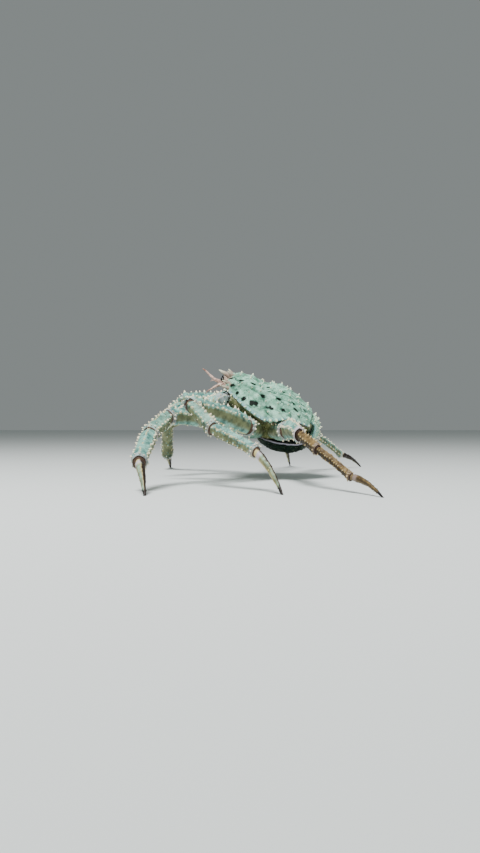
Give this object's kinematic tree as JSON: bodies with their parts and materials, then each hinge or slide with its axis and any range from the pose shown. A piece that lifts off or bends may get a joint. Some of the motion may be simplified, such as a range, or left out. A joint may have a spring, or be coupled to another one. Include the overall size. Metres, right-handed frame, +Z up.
{
  "type": "king crab",
  "caption": "Still, life-size model of a red king crab walking with its front raised, with a spiny domed shell, jointed spiny legs, folded claws and feelers.",
  "frame": {"origin": "on the floor, at the bottom centre of the box round the whole crab", "axes": "the head points along -X, the crab's left side is towards -Y, +Z is up"},
  "size_m": [0.35, 0.7178, 0.1604],
  "materials": {
    "shell": "pale grey-green shell with dark spots and cream spine tips",
    "limb": "pale blue-green shell with olive undersides and cream spines",
    "hind_limb": "tan and brown shell with cream spines",
    "underside": "olive-yellow shell",
    "flap": "dark grey-green plates with a pale rim",
    "feeler": "pinkish cream",
    "eye": "glossy black"
  },
  "bodies": {
    "root": {"carapace": "shell", "thorax": "underside", "abdomen_band": "shell", "abdomen_flap": "flap", "left_leg1_hip": "limb", "left_leg1_merus": "limb", "left_leg1_carpus": "limb", "left_leg1_propodus": "limb", "left_leg1_dactylus": "limb", "left_leg2_hip": "limb", "left_leg2_merus": "limb", "left_leg2_carpus": "limb", "left_leg2_propodus": "limb", "left_leg2_dactylus": "limb", "left_leg3_hip": "limb", "left_leg3_merus": "limb", "left_leg3_carpus": "hind_limb", "left_leg3_propodus": "hind_limb", "left_leg3_dactylus": "hind_limb", "left_claw_hip": "limb", "left_claw_merus": "limb", "left_claw_carpus": "limb", "left_claw_palm": "limb", "left_claw_finger": "limb", "left_eye": "eye", "left_mouth_leg": "underside", "left_antenna": "feeler", "left_antennule": "feeler", "right_leg1_hip": "limb", "right_leg1_merus": "limb", "right_leg1_carpus": "limb", "right_leg1_propodus": "limb", "right_leg1_dactylus": "limb", "right_leg2_hip": "limb", "right_leg2_merus": "limb", "right_leg2_carpus": "limb", "right_leg2_propodus": "limb", "right_leg2_dactylus": "limb", "right_leg3_hip": "limb", "right_leg3_merus": "limb", "right_leg3_carpus": "limb", "right_leg3_propodus": "limb", "right_leg3_dactylus": "limb", "right_claw_hip": "limb", "right_claw_merus": "limb", "right_claw_carpus": "limb", "right_claw_palm": "limb", "right_claw_finger": "limb", "right_eye": "eye", "right_mouth_leg": "underside", "right_antenna": "feeler", "right_antennule": "feeler"}
  },
  "joints": []
}
